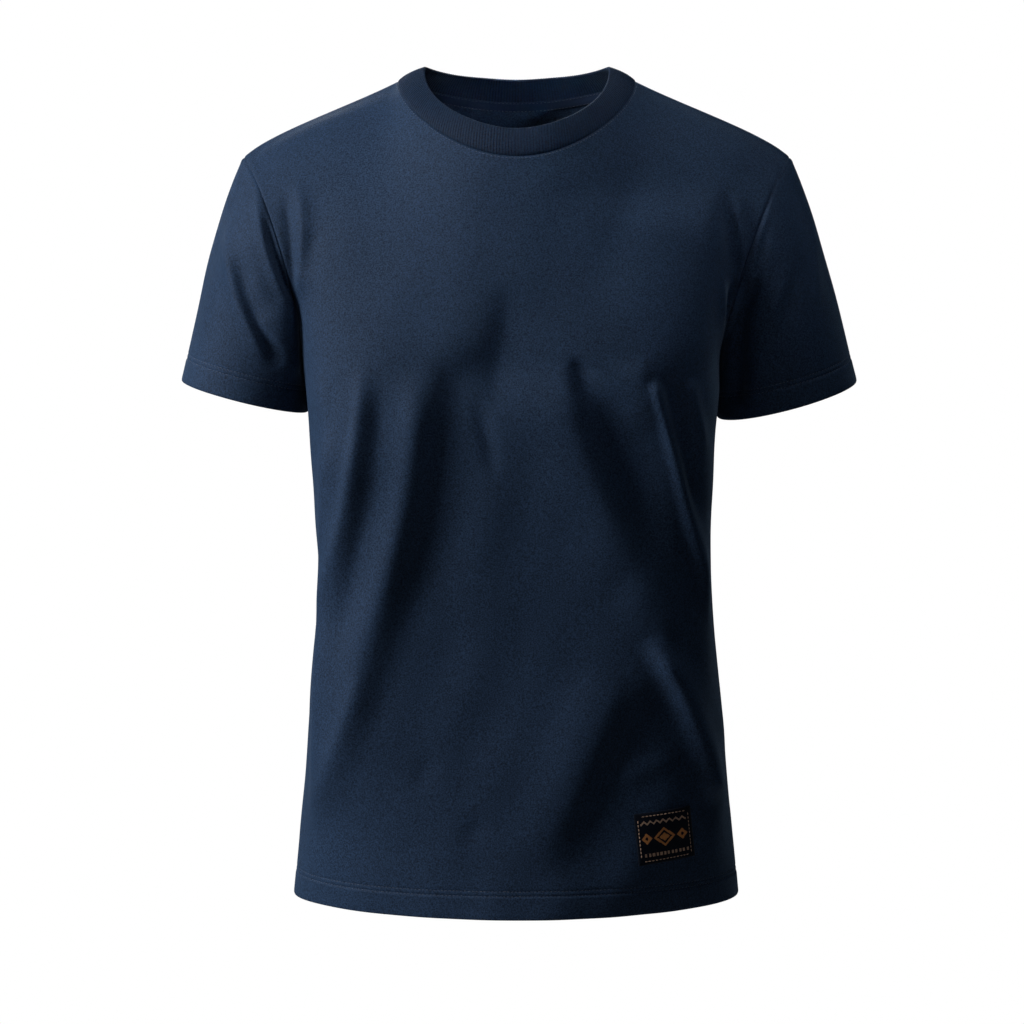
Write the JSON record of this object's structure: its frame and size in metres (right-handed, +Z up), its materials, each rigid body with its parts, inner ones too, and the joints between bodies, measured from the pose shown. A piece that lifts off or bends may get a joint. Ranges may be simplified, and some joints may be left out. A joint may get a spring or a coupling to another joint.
{
  "type": "crew neck t-shirt",
  "caption": "Short-sleeved crew neck t-shirt in plain jersey, filled out as when worn with nobody in it, with a ribbed collar and a small woven patch above the hem.",
  "frame": {"origin": "midway between the two neck points, where the shoulder seams meet the collar and the wearer's shoulders carry the shirt", "axes": "+Z up, towards the wearer's head; the front faces -Y; +X towards the wearer's left"},
  "size_m": [0.5929, 0.2404, 0.7347],
  "materials": {
    "jersey": "smooth heavy cotton jersey, matt navy",
    "rib": "one-by-one cotton rib, matt navy",
    "tape": "jersey tape with a row of stitches along each edge",
    "weave": "woven patch, near black with bronze thread"
  },
  "bodies": {
    "root": {"front": "jersey", "back": "jersey", "sleeve_right": "jersey", "sleeve_left": "jersey", "collar": "rib", "neck_tape": "tape", "patch": "weave"}
  },
  "joints": []
}
